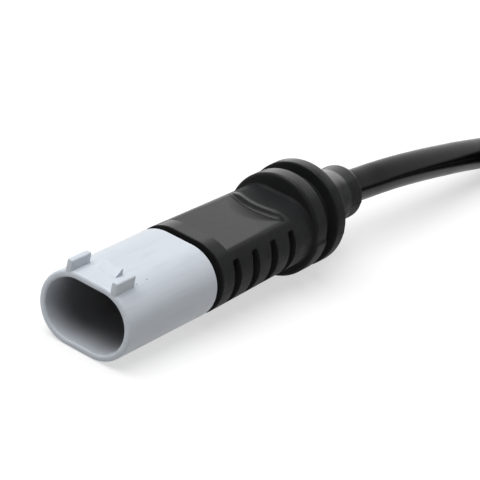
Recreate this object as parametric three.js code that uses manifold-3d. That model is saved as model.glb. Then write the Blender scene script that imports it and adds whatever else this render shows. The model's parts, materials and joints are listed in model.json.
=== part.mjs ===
// Brake pad wear sensor with its lead: an oblong two-pin connector with a light grey
// shroud and a black grip moulding, a sheathed lead wound into a coil, and the sensor
// head that clips to a brake pad. Millimetres, +Z up.
//
// The connector is built along its own axis, with its mouth at y = 0 facing -Y. A tilted
// group then lays it down, so that the mouth and a flange rest on z = 0. The origin is
// under the middle of the connector.

import * as THREE from 'three';
import { mergeVertices } from 'three/addons/utils/BufferGeometryUtils.js';
import Module from 'manifold-3d';

const wasm = await Module();
wasm.setup();

// Fits
const CLEARANCE = 0.3;           // gap between pieces that touch
const EDGE = 0.3;                // small rounding of moulded edges
const OVERRUN = 1;               // how far a cutter runs past the face that it opens
const ROUND_SIDES = 48;          // facets of a large round
const SMALL_SIDES = 16;          // facets of a pin or a wire bore
const WIRE_SIDES = 10;           // facets of a lead, a core or a conductor
const CURVE_STEPS = 18;          // sections along a bent wire
const LEAD_STEPS = 40;           // sections along a stretch of the lead
const ROUNDING_STEPS = 3;        // facets across a turned rounding

// Shroud
const SHROUD_WIDTH = 16;
const SHROUD_HEIGHT = 11.55;
const SHROUD_LENGTH = 21;
const SHROUD_WALL = 1.1;
const SHROUD_DRAFT = 0.08;       // how much slimmer each side is at the mouth
const RIM_ROUNDING = 0.5;        // outside edge of the mouth
const RIM_CHAMFER = 0.2;         // inside edge of the mouth
const CAVITY_DEPTH = 17.5;
const FLOOR_THICKNESS = 1.8;
const RIB_SPACING = 7.8;         // between the middles of the two latch ribs
const RIB_THICKNESS = 1;
const RIB_LENGTH = 4.35;
const RIB_RISE = 1.38;           // above the top of the shroud
const LATCH_START = 3.5;
const LATCH_LENGTH = 1.6;
const LATCH_WIDTH = 3.3;
const LATCH_RISE = 0.95;

// Contact pins
const PIN_SPACING = 5;
const PIN_RADIUS = 0.75;
const PIN_LENGTH = 7;            // free length in front of the shroud floor
const PIN_COLLAR_RADIUS = 1.4;
const PIN_COLLAR_LENGTH = 0.9;
const BARREL_RADIUS = 1.25;
const BARREL_LENGTH = 5.5;
const BARREL_BORE_RADIUS = 0.75;
const BARREL_BORE_DEPTH = 4;

// Grip moulding
const COLLAR_GAP = 1.45;         // dark recess between the shroud and the collar
const GRIP_FRONT_WIDTH = 16.1;
const GRIP_FRONT_HEIGHT = 11.6;
const GRIP_REAR_WIDTH = 15.3;
const GRIP_REAR_HEIGHT = 11.2;
const GRIP_LENGTH = 24.75;       // from the collar to the first flange
const PANEL_START = 3.1;         // behind the front of the collar
const PANEL_DEPTH = 0.98;
const PANEL_LENGTH = 14.6;
const PANEL_ARC_RADIUS = 10;
const SLOT_COUNT = 4;
const SLOT_FIRST = 3.9;          // middle of the first slot, behind the front of the collar
const SLOT_PITCH = 5;
const SLOT_WIDTH = 1.35;
const SLOT_FLOOR_HALF_WIDTH = 6.45;
const FLANGE_RADIUS = 8.2;
const FLANGE_1_THICKNESS = 3.15;
const FLANGE_1_LOWER_PROUD = 0.25; // its lower half is moulded a little larger
const FLANGE_GROOVE = 2.6;
const FLANGE_GROOVE_DEPTH = 1.6;
const FLANGE_2_PROUD = 0.3;      // how much further out than the first flange
const FLANGE_2_THICKNESS = 2.4;
const NECK_RADIUS = 4.45;
const NECK_LENGTH = 12.2;
const NECK_BASE_RADIUS = 6.8;    // where the cone of the neck meets the second flange
const NECK_CONE_LENGTH = 8.45;
const NECK_END_ROUNDING = 0.9;

// Lead and its two cores
const LEAD_DIAMETER = 5.5;
const LEAD_GRIP = 15;            // length of sheath held inside the neck
const CORE_RADIUS = 1.05;
const CORE_SPACING = 2.4;        // inside the sheath
const CONDUCTOR_RADIUS = 0.45;

// Coil, laid on the floor beyond the connector
const COIL_CENTRE = new THREE.Vector2(32.5, 110);
const COIL_OUTER_TURN = 32.5;
const COIL_INNER_TURN = 27;
const COIL_TOP_TURN = 29.75;
const COIL_TOP_HEIGHT = 8.35;    // centre of the lead where it lies on the lower turns
const COIL_SLACK = 0.1;
const LEAD_AT_COIL = 4.7;        // centre of the lead where it comes to the coil's side
const TAIL_FALL = 0.9;           // in the first stretch of the tail that leaves the coil
const TAIL_FALL_LENGTH = 5;

// Sensor head and the pieces on the tail of the lead, all lying at one height
const TAIL_HEIGHT = 5.6;
const COIL_TO_GROMMET = 37;      // from the middle of the coil
const GROMMET_TO_BOOT = 4;
const GROMMET_LENGTH = 12;
const GROMMET_RADIUS = 5.6;
const GROMMET_WAIST_RADIUS = 4.4;
const GROMMET_WAIST_LENGTH = 4.5;
const BOOT_LENGTH = 14;
const BOOT_RADIUS = 4.9;
const BOOT_TIP_RADIUS = 3.75;
const BOOT_STRAIGHT = 3.5;       // before it tapers
const HEAD_LENGTH = 20;
const HEAD_WIDTH = 13;
const HEAD_CORNER = 1.6;
const NOSE_LENGTH = 8.5;
const NOSE_RADIUS = 3.5;
const LOOP_WIRE_RADIUS = 0.5;
const LOOP_SPACING = 3.2;
const LOOP_BEND = 0.9;           // length of each bend at the tip
const SPLICE_RADIUS = 1.2;
const SPLICE_LENGTH = 6;
const HEAD_POCKET_DEPTH = 5;
const CLIP_THICKNESS = 0.5;
const CLIP_WIDTH = 7;
const CLIP_START = 7;            // behind the front face of the head
const CLIP_LEG_END = 1.2;        // height of the clip's free edges above the floor
const CLIP_FLARE = 0.6;

// Places worked out from the sizes above: along the connector axis, and then on the tail
const floorBack = CAVITY_DEPTH + FLOOR_THICKNESS;
const collarFront = SHROUD_LENGTH + COLLAR_GAP;
const flange1Front = collarFront + GRIP_LENGTH;
const flange2Front = flange1Front + FLANGE_1_THICKNESS + FLANGE_GROOVE;
const flange2Back = flange2Front + FLANGE_2_THICKNESS;
const flange1LowerRadius = FLANGE_RADIUS + FLANGE_1_LOWER_PROUD;
const flange2Radius = FLANGE_RADIUS + FLANGE_2_PROUD;
const neckEnd = flange2Back + NECK_LENGTH;
const pinTip = CAVITY_DEPTH - PIN_LENGTH;
const pinCollarFront = floorBack + CLEARANCE;
const barrelFront = pinCollarFront + PIN_COLLAR_LENGTH;
const barrelEnd = barrelFront + BARREL_LENGTH;
const coreStart = barrelEnd + CLEARANCE;
const sheathStart = neckEnd - LEAD_GRIP;
const coreEnd = sheathStart - CLEARANCE;
const grommetBack = COIL_CENTRE.y - COIL_TO_GROMMET;
const bootBack = grommetBack - GROMMET_LENGTH - GROMMET_TO_BOOT;
const rimHalf = SHROUD_HEIGHT / 2 - SHROUD_DRAFT;
const leadRadius = LEAD_DIAMETER / 2;
const leadBoreRadius = leadRadius + CLEARANCE;
const wireBoreRadius = CONDUCTOR_RADIUS + CLEARANCE;

// Materials
const greyPlastic = plastic(0xb9c1c9, 0.42);
const blackPlastic = plastic(0x1b1c1e, 0.45);
const blackSheath = plastic(0x101112, 0.22);
const blackRubber = plastic(0x161617, 0.7);
const headPlastic = plastic(0x202124, 0.5);
const whiteInsulation = plastic(0xd9d6cc, 0.5);
const brownInsulation = plastic(0x5b3a26, 0.5);
const tinnedBrass = metal(0xc9c6bd, 0.3);
const copper = metal(0xb87450, 0.35);
const springSteel = metal(0x9c9fa3, 0.3);

function plastic(color, roughness) {
  return new THREE.MeshStandardMaterial({ color, roughness, metalness: 0 });
}

function metal(color, roughness) {
  return new THREE.MeshStandardMaterial({ color, roughness, metalness: 1 });
}

// Joining and cutting

function toSolid(geometry) {
  const bare = geometry.clone();
  bare.deleteAttribute('normal');
  bare.deleteAttribute('uv');
  const merged = mergeVertices(bare, 1e-5);
  return new wasm.Manifold(new wasm.Mesh({
    numProp: 3,
    vertProperties: new Float32Array(merged.attributes.position.array),
    triVerts: new Uint32Array(merged.index.array),
  }));
}

function toGeometry(solid) {
  const { vertProperties, triVerts } = solid.getMesh();
  const geometry = new THREE.BufferGeometry();
  geometry.setAttribute('position', new THREE.BufferAttribute(vertProperties, 3));
  geometry.setIndex(new THREE.BufferAttribute(triVerts, 1));
  geometry.computeVertexNormals();
  return geometry;
}

function join(...geometries) {
  return toGeometry(geometries.map(toSolid).reduce((whole, piece) => whole.add(piece)));
}

function cut(geometry, ...cutters) {
  return toGeometry(cutters.map(toSolid).reduce(
    (rest, cutter) => rest.subtract(cutter), toSolid(geometry)));
}

// Basic forms. A section is a closed list of points in the plane across the part's axis.

function stadium(width, height, arcSides = ROUND_SIDES / 4) {
  const radius = height / 2;
  const reach = width / 2 - radius;
  const points = [];
  for (const side of [1, -1]) {
    for (let i = 0; i <= arcSides; i += 1) {
      const angle = Math.PI * (i / arcSides - 0.5);
      points.push(new THREE.Vector2(
        side * (reach + radius * Math.cos(angle)), side * radius * Math.sin(angle)));
    }
  }
  return points;
}

function roundedRectangle(width, height, corner, cornerSides = 4) {
  const points = [];
  for (let quarter = 0; quarter < 4; quarter += 1) {
    const sideX = quarter === 0 || quarter === 3 ? 1 : -1;
    const sideY = quarter < 2 ? 1 : -1;
    for (let i = 0; i <= cornerSides; i += 1) {
      const angle = (quarter + i / cornerSides) * Math.PI / 2;
      points.push(new THREE.Vector2(
        sideX * (width / 2 - corner) + corner * Math.cos(angle),
        sideY * (height / 2 - corner) + corner * Math.sin(angle)));
    }
  }
  return points;
}

function circle(radius, sides) {
  return Array.from({ length: sides }, (_, i) => {
    const angle = i / sides * 2 * Math.PI;
    return new THREE.Vector2(radius * Math.cos(angle), radius * Math.sin(angle));
  });
}

// A solid through sections with equal numbers of points, set across Y at the given places.
function loft(stations) {
  const count = stations[0].section.length;
  const positions = [];
  for (const { section, y } of stations) {
    for (const point of section) positions.push(point.x, y, point.y);
  }
  const indices = [];
  for (let ring = 0; ring < stations.length - 1; ring += 1) {
    for (let i = 0; i < count; i += 1) {
      const a = ring * count + i;
      const b = ring * count + (i + 1) % count;
      indices.push(a, a + count, b, b, a + count, b + count);
    }
  }
  for (const [ring, order] of [[0, 1], [stations.length - 1, -1]]) {
    for (const face of THREE.ShapeUtils.triangulateShape(stations[ring].section, [])) {
      const corners = face.map((corner) => ring * count + corner);
      if (order < 0) corners.reverse();
      indices.push(...corners);
    }
  }
  const geometry = new THREE.BufferGeometry();
  geometry.setAttribute('position', new THREE.Float32BufferAttribute(positions, 3));
  geometry.setIndex(indices);
  return geometry;
}

// A straight body between two places on Y, with its edges eased at either end.
function easedPrism(sectionAt, start, end, frontEase, backEase) {
  const steps = [[0, 1], [0.29, 0.29], [1, 0]];    // along and inward, in shares of the easing
  const stations = [];
  for (const [along, inward] of frontEase > 0 ? steps : [[0, 0]]) {
    stations.push({ y: start + along * frontEase, section: sectionAt(0, inward * frontEase) });
  }
  for (const [along, inward] of backEase > 0 ? [...steps].reverse() : [[0, 0]]) {
    stations.push({ y: end - along * backEase, section: sectionAt(1, inward * backEase) });
  }
  return loft(stations);
}

function prism(section, start, end) {
  return loft([{ y: start, section }, { y: end, section }]);
}

// A revolved body about Y, from [radius, y] pairs that start and end on the axis.
function turned(profile, sides) {
  return new THREE.LatheGeometry(profile.map(([r, y]) => new THREE.Vector2(r, y)), sides);
}

function rod(radius, start, end, sides = SMALL_SIDES) {
  return turned([[0, start], [radius, start], [radius, end], [0, end]], sides);
}

function hollowRod(radius, bore, start, end, sides = SMALL_SIDES) {
  return turned([[bore, start], [radius, start], [radius, end], [bore, end], [bore, start]], sides);
}

function box(xLow, xHigh, yLow, yHigh, zLow, zHigh) {
  const geometry = new THREE.BoxGeometry(xHigh - xLow, yHigh - yLow, zHigh - zLow);
  return geometry.translate((xLow + xHigh) / 2, (yLow + yHigh) / 2, (zLow + zHigh) / 2);
}

// A section swept along a curve; a bore makes it a tube with open ends.
function swept(curve, radius, steps, sides, bore = 0) {
  const shape = new THREE.Shape(circle(radius, sides));
  if (bore > 0) shape.holes.push(new THREE.Path(circle(bore, sides)));
  return new THREE.ExtrudeGeometry(shape, { steps, extrudePath: curve, curveSegments: sides });
}

function arcPoints(centreR, centreY, radius, from, to, steps) {
  return Array.from({ length: steps + 1 }, (_, i) => {
    const angle = THREE.MathUtils.degToRad(from + (to - from) * i / steps);
    return [centreR + radius * Math.cos(angle), centreY + radius * Math.sin(angle)];
  });
}

// Connector pieces

function shroudSection(inset) {
  return stadium(SHROUD_WIDTH - 2 * inset, SHROUD_HEIGHT - 2 * inset);
}

function connectorShroud() {
  const top = SHROUD_HEIGHT / 2;
  const shell = easedPrism(
    (share, inset) => shroudSection(inset + SHROUD_DRAFT * (1 - share)),
    0, SHROUD_LENGTH, RIM_ROUNDING, EDGE / 2);
  const ribs = [-1, 1].map((side) => {
    const middle = side * RIB_SPACING / 2;
    return box(
      middle - RIB_THICKNESS / 2, middle + RIB_THICKNESS / 2,
      0, RIB_LENGTH, top - SHROUD_WALL, top + RIB_RISE);
  });
  const ramp = new THREE.Shape([
    new THREE.Vector2(LATCH_START, top - SHROUD_WALL / 2),
    new THREE.Vector2(LATCH_START + LATCH_LENGTH, top - SHROUD_WALL / 2),
    new THREE.Vector2(LATCH_START + LATCH_LENGTH, top + LATCH_RISE),
    new THREE.Vector2(LATCH_START + LATCH_LENGTH - EDGE, top + LATCH_RISE),
    new THREE.Vector2(LATCH_START, top),
  ]);
  const latch = new THREE.ExtrudeGeometry(ramp, { depth: LATCH_WIDTH, bevelEnabled: false });
  latch.rotateY(Math.PI / 2).rotateX(Math.PI / 2).translate(-LATCH_WIDTH / 2, 0, 0);
  const cavity = loft([
    { y: -OVERRUN, section: shroudSection(SHROUD_WALL - RIM_CHAMFER) },
    { y: 0, section: shroudSection(SHROUD_WALL - RIM_CHAMFER) },
    { y: RIM_CHAMFER, section: shroudSection(SHROUD_WALL) },
    { y: CAVITY_DEPTH, section: shroudSection(SHROUD_WALL) },
  ]);
  const skirt = prism(shroudSection(SHROUD_WALL), floorBack, SHROUD_LENGTH + OVERRUN);
  const pinHoles = [-1, 1].map((side) => rod(
    PIN_RADIUS + CLEARANCE, CAVITY_DEPTH - OVERRUN, floorBack + OVERRUN)
    .translate(side * PIN_SPACING / 2, 0, 0));
  return cut(join(shell, ...ribs, latch), cavity, skirt, ...pinHoles);
}

function contactPin() {
  const nose = arcPoints(0, pinTip + PIN_RADIUS, PIN_RADIUS, -90, 0, ROUNDING_STEPS);
  const boreStart = barrelEnd - BARREL_BORE_DEPTH;
  return turned([
    ...nose,
    [PIN_RADIUS, pinCollarFront],
    [PIN_COLLAR_RADIUS, pinCollarFront],
    [PIN_COLLAR_RADIUS, barrelFront],
    [BARREL_RADIUS, barrelFront],
    [BARREL_RADIUS, barrelEnd],
    [BARREL_BORE_RADIUS, barrelEnd],
    [BARREL_BORE_RADIUS, boreStart],
    [0, boreStart],
  ], SMALL_SIDES);
}

// The centre line of one core inside the grip, from the pin's barrel to the sheath.
function coreCurve(side, start, end) {
  const wide = side * PIN_SPACING / 2;
  const narrow = side * CORE_SPACING / 2;
  const third = (coreEnd - coreStart) / 3;
  const bend = new THREE.CubicBezierCurve3(
    new THREE.Vector3(wide, coreStart, 0),
    new THREE.Vector3(wide, coreStart + third, 0),
    new THREE.Vector3(narrow, coreEnd - third, 0),
    new THREE.Vector3(narrow, coreEnd, 0));
  const path = new THREE.CurvePath();
  if (start < coreStart) {
    path.add(new THREE.LineCurve3(new THREE.Vector3(wide, start, 0), bend.v0));
  }
  path.add(bend);
  if (end > coreEnd) {
    path.add(new THREE.LineCurve3(bend.v3, new THREE.Vector3(narrow, end, 0)));
  }
  return path;
}

function wireCore(side) {
  return swept(coreCurve(side, coreStart, coreEnd), CORE_RADIUS, CURVE_STEPS, WIRE_SIDES, wireBoreRadius);
}

function conductor(side) {
  const start = barrelEnd - BARREL_BORE_DEPTH + CLEARANCE;
  return swept(coreCurve(side, start, coreEnd), CONDUCTOR_RADIUS, CURVE_STEPS, WIRE_SIDES);
}

function gripSection(share, inset) {
  const width = THREE.MathUtils.lerp(GRIP_FRONT_WIDTH, GRIP_REAR_WIDTH, share);
  const height = THREE.MathUtils.lerp(GRIP_FRONT_HEIGHT, GRIP_REAR_HEIGHT, share);
  return stadium(width - 2 * inset, height - 2 * inset);
}

function flangesAndNeck() {
  const coreRadius = FLANGE_RADIUS - FLANGE_GROOVE_DEPTH;
  const neckRim = neckEnd - NECK_END_ROUNDING;
  const rim = (radius, front, back) => [
    [radius - EDGE, front], [radius, front + EDGE], [radius, back - EDGE], [radius - EDGE, back],
  ];
  return turned([
    [0, flange1Front],
    ...rim(flange1LowerRadius, flange1Front, flange1Front + FLANGE_1_THICKNESS),
    [coreRadius, flange1Front + FLANGE_1_THICKNESS],
    [coreRadius, flange2Front],
    ...rim(flange2Radius, flange2Front, flange2Back),
    [NECK_BASE_RADIUS, flange2Back],
    [NECK_RADIUS, flange2Back + NECK_CONE_LENGTH],
    ...arcPoints(NECK_RADIUS - NECK_END_ROUNDING, neckRim, NECK_END_ROUNDING, 0, 90, ROUNDING_STEPS),
    [0, neckEnd],
  ], ROUND_SIDES);
}

// The flat thumb panel on one side, cut out in plan: straight in front, an arc behind.
function panelCutter(side) {
  const start = collarFront + PANEL_START;
  const reach = GRIP_FRONT_WIDTH;
  const arcMiddle = start + PANEL_LENGTH + PANEL_ARC_RADIUS;
  const plan = new THREE.Shape();
  plan.moveTo(-reach, start);
  plan.lineTo(reach, start);
  plan.lineTo(reach, arcMiddle);
  plan.lineTo(PANEL_ARC_RADIUS, arcMiddle);
  plan.absarc(0, arcMiddle, PANEL_ARC_RADIUS, 0, -Math.PI, true);
  plan.lineTo(-reach, arcMiddle);
  const depth = GRIP_FRONT_HEIGHT / 2;
  const cutter = new THREE.ExtrudeGeometry(plan, { depth, bevelEnabled: false, curveSegments: ROUND_SIDES });
  cutter.translate(0, 0, GRIP_FRONT_HEIGHT / 2 - PANEL_DEPTH);
  return side > 0 ? cutter : cutter.rotateY(Math.PI);
}

function slotCutters() {
  const cutters = [];
  for (let i = 0; i < SLOT_COUNT; i += 1) {
    const middle = collarFront + SLOT_FIRST + i * SLOT_PITCH;
    for (const side of [-1, 1]) {
      const edges = [side * SLOT_FLOOR_HALF_WIDTH, side * GRIP_FRONT_WIDTH];
      cutters.push(box(
        Math.min(...edges), Math.max(...edges),
        middle - SLOT_WIDTH / 2, middle + SLOT_WIDTH / 2,
        -GRIP_FRONT_HEIGHT, GRIP_FRONT_HEIGHT));
    }
  }
  return cutters;
}

// Trims the upper half of the first flange, which is smaller than the lower half.
function upperRimCutter() {
  const front = flange1Front - CLEARANCE;
  const back = flange1Front + FLANGE_1_THICKNESS + CLEARANCE;
  const outer = flange1LowerRadius + OVERRUN;
  const ring = hollowRod(outer, FLANGE_RADIUS, front, back, ROUND_SIDES);
  const lowerHalf = box(-outer - OVERRUN, outer + OVERRUN, front - OVERRUN, back + OVERRUN,
    -outer - OVERRUN, 0);
  return cut(ring, lowerHalf);
}

function gripMoulding() {
  const plugInset = SHROUD_WALL + CLEARANCE;
  const plug = prism(shroudSection(plugInset), floorBack + CLEARANCE, collarFront + OVERRUN);
  const grip = easedPrism(gripSection, collarFront, flange1Front + OVERRUN, EDGE / 2, 0);
  const pockets = [-1, 1].flatMap((side) => [
    rod(PIN_COLLAR_RADIUS + CLEARANCE, floorBack - OVERRUN, coreStart)
      .translate(side * PIN_SPACING / 2, 0, 0),
    swept(coreCurve(side, coreStart - CLEARANCE, sheathStart + OVERRUN),
      CORE_RADIUS + CLEARANCE, CURVE_STEPS, WIRE_SIDES),
  ]);
  const sheathBore = rod(leadBoreRadius, coreEnd, neckEnd + OVERRUN, ROUND_SIDES / 2);
  return cut(
    join(plug, grip, flangesAndNeck()),
    panelCutter(1), panelCutter(-1), ...slotCutters(), upperRimCutter(),
    ...pockets, sheathBore);
}

// How the connector lies: its mouth and the flange that sticks out furthest below touch
// the floor.
function restTilt() {
  const flanges = [
    [flange1LowerRadius, flange1Front + EDGE],
    [flange2Radius, flange2Front + EDGE],
  ];
  return Math.max(...flanges.map(([radius, y]) => Math.atan2(radius - rimHalf, y - RIM_ROUNDING)));
}

const tilt = restTilt();
const connectorRise = rimHalf * Math.cos(tilt) - RIM_ROUNDING * Math.sin(tilt);
const ribReach = (SHROUD_HEIGHT / 2 + RIB_RISE) * Math.sin(tilt);
const neckReach = neckEnd * Math.cos(tilt) + (NECK_RADIUS - NECK_END_ROUNDING) * Math.sin(tilt);
const connectorShift = (neckReach - ribReach) / 2;

// A point on the connector's axis, as it lies.
function onAxis(along) {
  return new THREE.Vector3(
    0, along * Math.cos(tilt) - connectorShift, along * Math.sin(tilt) + connectorRise);
}

// Lead. The free stretch sinks from the neck to the floor under its own weight.

const leadRun = [
  [0, 40.4, 9.45],
  [0.1, 46, 9.35],
  [0.15, 52, 9.05],
  [0.2, 58, 8.6],
  [0.2, 64, 8.05],
  [0.2, 70, 7.4],
  [0.15, 76, 6.7],
  [0.1, 83, 5.75],
];

const coilOuterRadius = COIL_OUTER_TURN + leadRadius + COIL_SLACK;
const coilInnerRadius = COIL_INNER_TURN - leadRadius - COIL_SLACK;
const coilTop = COIL_TOP_HEIGHT + leadRadius + COIL_SLACK;

function alongCurve(points) {
  return new THREE.CatmullRomCurve3(points.map((point) => (
    point.isVector3 ? point : new THREE.Vector3(...point))));
}

// Where a straight stretch along Y, beside the coil, comes clear of the coil's round side.
function clearOfCoil(nearSide) {
  const offset = Math.abs(COIL_CENTRE.x - nearSide);
  return COIL_CENTRE.y - Math.sqrt(coilOuterRadius ** 2 - offset ** 2) - CLEARANCE;
}

function leadRunPiece() {
  const last = clearOfCoil(leadRadius);
  const points = [onAxis(sheathStart), onAxis((sheathStart + neckEnd) / 2), onAxis(neckEnd)];
  points.push(...leadRun, [0, last, LEAD_AT_COIL]);
  return swept(alongCurve(points), leadRadius, LEAD_STEPS, WIRE_SIDES);
}

function leadCoil() {
  const low = COIL_SLACK;
  const ease = leadRadius / 2;
  const ring = turned([
    [coilInnerRadius + ease, low], [coilOuterRadius - ease, low], [coilOuterRadius, low + ease],
    [coilOuterRadius, coilTop - ease], [coilOuterRadius - ease, coilTop],
    [coilInnerRadius + ease, coilTop], [coilInnerRadius, coilTop - ease],
    [coilInnerRadius, low + ease], [coilInnerRadius + ease, low],
  ], ROUND_SIDES);
  return ring.rotateX(Math.PI / 2).translate(COIL_CENTRE.x, COIL_CENTRE.y, 0);
}

const tailX = COIL_CENTRE.x + COIL_TOP_TURN;
const headBack = bootBack - BOOT_LENGTH - CLEARANCE;
const headFront = headBack - HEAD_LENGTH;
const tailEnd = headBack - HEAD_POCKET_DEPTH / 2;

function leadTail() {
  const start = clearOfCoil(tailX - leadRadius);
  return swept(alongCurve([
    [tailX, start, COIL_TOP_HEIGHT],
    [tailX, start - TAIL_FALL_LENGTH, COIL_TOP_HEIGHT - TAIL_FALL],
    [tailX, grommetBack, TAIL_HEIGHT],
    [tailX, (grommetBack + bootBack) / 2, TAIL_HEIGHT],
    [tailX, bootBack, TAIL_HEIGHT],
    [tailX, tailEnd, TAIL_HEIGHT],
  ]), leadRadius, LEAD_STEPS, WIRE_SIDES);
}

// Pieces on the tail are turned about their own axis, which runs along -Y at one height.

function onTail(geometry) {
  return geometry.translate(tailX, 0, TAIL_HEIGHT);
}

function bracketGrommet() {
  const back = grommetBack;
  const front = back - GROMMET_LENGTH;
  const middle = (front + back) / 2;
  const waist = GROMMET_WAIST_LENGTH / 2;
  return onTail(turned([
    [leadBoreRadius, front], [GROMMET_RADIUS - EDGE, front], [GROMMET_RADIUS, front + EDGE],
    [GROMMET_RADIUS, middle - waist], [GROMMET_WAIST_RADIUS, middle - waist],
    [GROMMET_WAIST_RADIUS, middle + waist], [GROMMET_RADIUS, middle + waist],
    [GROMMET_RADIUS, back - EDGE], [GROMMET_RADIUS - EDGE, back], [leadBoreRadius, back],
    [leadBoreRadius, front],
  ], ROUND_SIDES / 2));
}

function headBoot() {
  const front = bootBack - BOOT_LENGTH;
  return onTail(turned([
    [leadBoreRadius, front], [BOOT_RADIUS - EDGE, front], [BOOT_RADIUS, front + EDGE],
    [BOOT_RADIUS, front + BOOT_STRAIGHT], [BOOT_TIP_RADIUS, bootBack - EDGE],
    [BOOT_TIP_RADIUS - EDGE, bootBack], [leadBoreRadius, bootBack], [leadBoreRadius, front],
  ], ROUND_SIDES / 2));
}

function sensorHead() {
  const height = 2 * TAIL_HEIGHT;
  const block = easedPrism(
    (_, inset) => roundedRectangle(HEAD_WIDTH - 2 * inset, height - 2 * inset, HEAD_CORNER - inset),
    headFront, headBack, EDGE, EDGE);
  const noseTip = headFront - NOSE_LENGTH;
  const nose = turned([
    [0, noseTip], [NOSE_RADIUS - 2 * EDGE, noseTip], [NOSE_RADIUS, noseTip + 2 * EDGE],
    [NOSE_RADIUS, headFront + OVERRUN], [0, headFront + OVERRUN],
  ], ROUND_SIDES / 2);
  const loopBore = LOOP_WIRE_RADIUS + CLEARANCE;
  const half = LOOP_SPACING / 2;
  const bores = [-half, half].flatMap((x) => [
    rod(loopBore, noseTip - OVERRUN, headBack, SMALL_SIDES).translate(x, 0, 0),
    rod(SPLICE_RADIUS + CLEARANCE, headBack - HEAD_POCKET_DEPTH - SPLICE_LENGTH - 2 * CLEARANCE,
      headBack, SMALL_SIDES).translate(x, 0, 0),
  ]);
  const tipGroove = box(-half, half, noseTip - OVERRUN, noseTip + 2 * loopBore, -loopBore, loopBore);
  const pocket = rod(leadBoreRadius, headBack - HEAD_POCKET_DEPTH, headBack + OVERRUN);
  const clipBack = headFront + CLIP_START + CLIP_WIDTH + CLEARANCE;
  const clipFront = headFront + CLIP_START - CLEARANCE;
  const seat = CLIP_THICKNESS + CLEARANCE;
  const clipSeat = cut(
    box(-HEAD_WIDTH, HEAD_WIDTH, clipFront, clipBack, -height, height),
    box(-HEAD_WIDTH / 2 + seat, HEAD_WIDTH / 2 - seat, clipFront - OVERRUN, clipBack + OVERRUN,
      -height - OVERRUN, TAIL_HEIGHT - seat));
  return onTail(cut(join(block, nose), ...bores, tipGroove, pocket, clipSeat));
}

function wearLoop() {
  const half = LOOP_SPACING / 2;
  const tip = headFront - NOSE_LENGTH + LOOP_WIRE_RADIUS + CLEARANCE;
  const back = headBack - HEAD_POCKET_DEPTH - SPLICE_LENGTH - 2 * CLEARANCE;
  const path = new THREE.CurvePath();
  const corners = [
    [-half, back], [-half, tip + LOOP_BEND], [-half + LOOP_BEND, tip],
    [half - LOOP_BEND, tip], [half, tip + LOOP_BEND], [half, back],
  ].map(([x, y]) => new THREE.Vector3(x, y, 0));
  path.add(new THREE.LineCurve3(corners[0], corners[1]));
  path.add(new THREE.QuadraticBezierCurve3(corners[1], new THREE.Vector3(-half, tip, 0), corners[2]));
  path.add(new THREE.LineCurve3(corners[2], corners[3]));
  path.add(new THREE.QuadraticBezierCurve3(corners[3], new THREE.Vector3(half, tip, 0), corners[4]));
  path.add(new THREE.LineCurve3(corners[4], corners[5]));
  return onTail(swept(path, LOOP_WIRE_RADIUS, LEAD_STEPS, WIRE_SIDES));
}

function headSplice(side) {
  const back = headBack - HEAD_POCKET_DEPTH;
  return onTail(rod(SPLICE_RADIUS, back - SPLICE_LENGTH, back - CLEARANCE)
    .translate(side * LOOP_SPACING / 2, 0, 0));
}

function headCore(side) {
  const back = tailEnd - CLEARANCE;
  const front = headBack - HEAD_POCKET_DEPTH;
  return onTail(rod(CORE_RADIUS, front, back, WIRE_SIDES).translate(side * CORE_SPACING / 2, 0, 0));
}

function retainingClip() {
  const outerX = HEAD_WIDTH / 2;
  const innerX = outerX - CLIP_THICKNESS;
  const topZ = TAIL_HEIGHT;
  const endZ = CLIP_LEG_END - TAIL_HEIGHT;
  const flareZ = endZ + 2 * CLIP_FLARE;
  const strip = [
    [-outerX - CLIP_FLARE, endZ], [-outerX, flareZ], [-outerX, topZ], [outerX, topZ],
    [outerX, flareZ], [outerX + CLIP_FLARE, endZ], [innerX + CLIP_FLARE, endZ], [innerX, flareZ],
    [innerX, topZ - CLIP_THICKNESS], [-innerX, topZ - CLIP_THICKNESS], [-innerX, flareZ],
    [-innerX - CLIP_FLARE, endZ],
  ].map(([x, z]) => new THREE.Vector2(x, z)).reverse();
  const start = headFront + CLIP_START;
  return onTail(prism(strip, start, start + CLIP_WIDTH));
}

// Assembly

function piece(name, geometry, material) {
  const mesh = new THREE.Mesh(geometry, material);
  mesh.name = name;
  return mesh;
}

const connector = new THREE.Group();
connector.rotation.x = tilt;
connector.position.set(0, -connectorShift, connectorRise);
connector.add(piece('connector_shroud', connectorShroud(), greyPlastic));
connector.add(piece('grip_moulding', gripMoulding(), blackPlastic));
for (const [name, side, insulation] of [['left', -1, whiteInsulation], ['right', 1, brownInsulation]]) {
  const pin = piece(`contact_pin_${name}`, contactPin(), tinnedBrass);
  pin.position.x = side * PIN_SPACING / 2;
  connector.add(pin);
  connector.add(piece(`wire_core_${name}`, wireCore(side), insulation));
  connector.add(piece(`conductor_${name}`, conductor(side), copper));
}

const sensor = new THREE.Group();
sensor.add(connector);
sensor.add(piece('lead_run', leadRunPiece(), blackSheath));
sensor.add(piece('lead_coil', leadCoil(), blackSheath));
sensor.add(piece('lead_tail', leadTail(), blackSheath));
sensor.add(piece('bracket_grommet', bracketGrommet(), blackRubber));
sensor.add(piece('head_boot', headBoot(), blackRubber));
sensor.add(piece('sensor_head', sensorHead(), headPlastic));
sensor.add(piece('wear_loop', wearLoop(), copper));
sensor.add(piece('retaining_clip', retainingClip(), springSteel));
for (const [name, side, insulation] of [['left', -1, whiteInsulation], ['right', 1, brownInsulation]]) {
  sensor.add(piece(`head_splice_${name}`, headSplice(side), tinnedBrass));
  sensor.add(piece(`head_core_${name}`, headCore(side), insulation));
}

export default sensor;
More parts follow.
